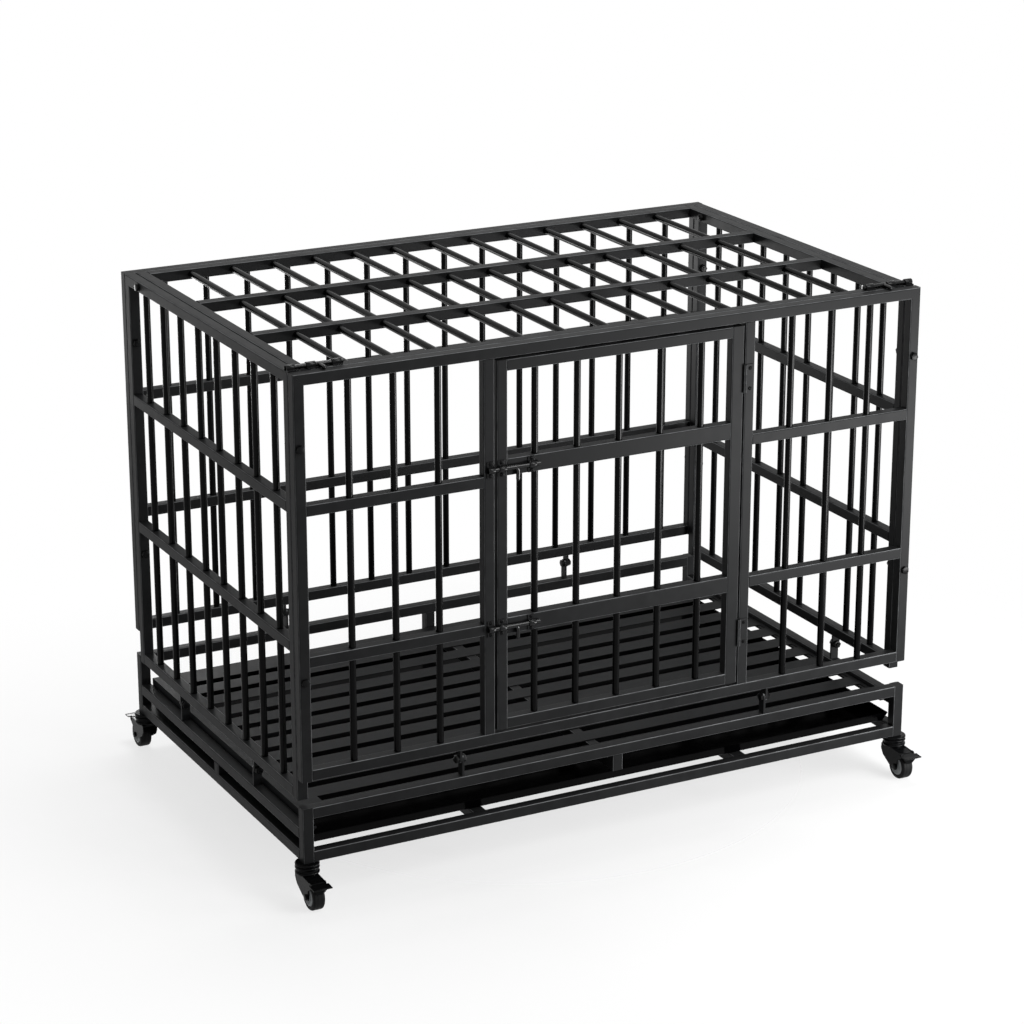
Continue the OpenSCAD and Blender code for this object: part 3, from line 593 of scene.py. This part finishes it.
# heads are (side, height); rod is (radius, distance along the axle)
axle = dict(heads=((-1, 0.0030), (1, 0.0028)), seat=0.0145, across=0.0086, chamfer=0.0006,
            rod=((0.0, -0.0172), (0.0030, -0.0168), (0.0030, 0.0170), (0.0024, 0.0175),
                 (0.0, 0.0175)), steps=24)


def axleHardware(build):
    for side, height in axle["heads"]:
        face = (Matrix.Translation((0, 0, side * axle["seat"]))
                @ Matrix.Rotation(0 if side > 0 else pi, 4, "X"))
        addShape(build, face, hexBlock, across=axle["across"], height=height,
                 chamfer=axle["chamfer"])
    turned(build, axle["rod"], axle["steps"])


# pin of the toe pedal, with rounded ends
pedalPin = dict(place=(0, -0.041984, 0.0515), steps=24,
                rod=((0.0, -0.0157), (0.0012, -0.0156), (0.0018, -0.0152), (0.0020, -0.0147),
                     (0.0020, 0.0147), (0.0018, 0.0152), (0.0012, 0.0156), (0.0, 0.0157)))


def makeWheels():
    for name in casters:
        line = axleLine(name)
        build = bmesh.new()
        addShape(build, line, turned, profile=tyreProfile(), steps=wheel["steps"], closed=True)
        endPiece(name + "Tyre", build, "tyreRubber", name + "_wheel",
                 name + "_tyre", meshEnd["wheelSharp"])

        build = bmesh.new()
        addShape(build, line, turned, profile=hubProfile(), steps=wheel["steps"], closed=True)
        for i in range(hub["ribs"]):
            turn = Matrix.Rotation(2 * pi * i / hub["ribs"], 4, "Z")
            addShape(build, line @ turn @ Matrix.Translation((hub["ribOut"], 0, 0)), hubRib)
        endPiece(name + "Hub", build, "hubPlastic", name + "_wheel",
                 name + "_hub", meshEnd["wheelSharp"])

        build = bmesh.new()
        addShape(build, line, axleHardware)
        pinLine = (casterPlace(name) @ Matrix.Translation(pedalPin["place"])
                   @ Matrix.Rotation(radians(90), 4, "Y"))
        addShape(build, pinLine, turned, profile=pedalPin["rod"], steps=pedalPin["steps"])
        endPiece(name + "Axle", build, "blackBolt", name + "_swivel",
                 name + "_axles", meshEnd["hardwareSharp"])


makeWheels()
print("wheels made")

# pale floor that melts into the white sky away from the crate and keeps its shadow
floorLook = dict(size=12.0, tone=0.80, rough=0.9, fade=(0.45, 1.50), clearest=1.0, solid=0.70)


def makeFloor():
    mesh = bpy.data.meshes.new("studioFloor")
    build = bmesh.new()
    bmesh.ops.create_grid(build, x_segments=2, y_segments=2, size=floorLook["size"] / 2)
    build.to_mesh(mesh)
    build.free()
    floor = bpy.data.objects.new("studioFloor", mesh)
    scene.collection.objects.link(floor)
    material = bpy.data.materials.new("paleFloor")
    material.use_nodes = True
    tree = material.node_tree
    shader = tree.nodes["Principled BSDF"]
    shader.inputs["Base Color"].default_value = (*[floorLook["tone"]] * 3, 1)
    shader.inputs["Roughness"].default_value = floorLook["rough"]
    shader.inputs["Specular IOR Level"].default_value = 0.0
    reach = addNode(tree, "ShaderNodeVectorMath", operation="LENGTH")
    tree.links.new(addNode(tree, "ShaderNodeTexCoord").outputs["Object"], reach.inputs[0])
    fade = remap(tree, reach.outputs["Value"], floorLook["fade"],
                 (floorLook["solid"], floorLook["clearest"]))
    fade.node.interpolation_type = "SMOOTHSTEP"
    clear = addNode(tree, "ShaderNodeBsdfTransparent")
    blend = addNode(tree, "ShaderNodeMixShader")
    for source, socket in zip((fade, shader.outputs[0], clear.outputs[0]), blend.inputs):
        tree.links.new(source, socket)
    tree.links.new(blend.outputs[0], tree.nodes["Material Output"].inputs["Surface"])
    dress(floor, material)


# the sky is white where it is seen or mirrored, and gives a weaker fill light
sky = dict(light=0.24, shown=1.0)


def makeWorld():
    world = bpy.data.worlds.new("studioSky")
    scene.world = world
    world.use_nodes = True
    tree = world.node_tree
    path = addNode(tree, "ShaderNodeLightPath").outputs
    seen = combine(tree, "MAXIMUM", path["Is Camera Ray"], path["Is Glossy Ray"])
    seen = combine(tree, "MAXIMUM", seen, path["Is Transmission Ray"])
    strength = remap(tree, seen, (0.0, 1.0), (sky["light"], sky["shown"]))
    background = tree.nodes["Background"]
    background.inputs["Color"].default_value = (1, 1, 1, 1)
    tree.links.new(strength, background.inputs["Strength"])


# soft boxes, size in metres and power in watts
lamps = {
    "keySoft": dict(place=(1.6, -2.9, 3.3), aim=(0, -0.2, 0.5), size=(1.4, 2.0), power=90),
    "topSoft": dict(place=(0.6, 0.8, 4.2), aim=(0, 0, 0.5), size=(2.2, 0.8), power=110),
    "rightSoft": dict(place=(1.25, -1.45, 0.32), aim=(0.45, -0.386, 0.55), size=(1.0, 0.45),
                      power=46),
    "rearSoft": dict(place=(-0.25, 2.2, 0.40), aim=(0, 0.386, 0.5), size=(1.2, 0.5), power=19),
}


def makeLamps():
    for name, box in lamps.items():
        data = bpy.data.lights.new(name, "AREA")
        data.shape = "RECTANGLE"
        data.size, data.size_y = box["size"]
        data.energy = box["power"]
        lamp = bpy.data.objects.new(name, data)
        scene.collection.objects.link(lamp)
        lamp.location = box["place"]
        way = Vector(box["aim"]) - Vector(box["place"])
        lamp.rotation_euler = way.to_track_quat("-Z", "Y").to_euler()


# the photograph's view; down and turn are in degrees
view = dict(sensor=36.0, lens=107.65, place=(-2.49356, -4.73283, 2.29933), down=18.61554,
            turn=-27.68987)


def makeCamera():
    data = bpy.data.cameras.new("photoView")
    data.sensor_width = view["sensor"]
    data.lens = view["lens"]
    camera = bpy.data.objects.new("photoView", data)
    scene.collection.objects.link(camera)
    camera.location = view["place"]
    camera.rotation_euler = (radians(90 - view["down"]), 0, radians(view["turn"]))
    scene.camera = camera


makeFloor()
makeWorld()
makeLamps()
makeCamera()
print("studio set")
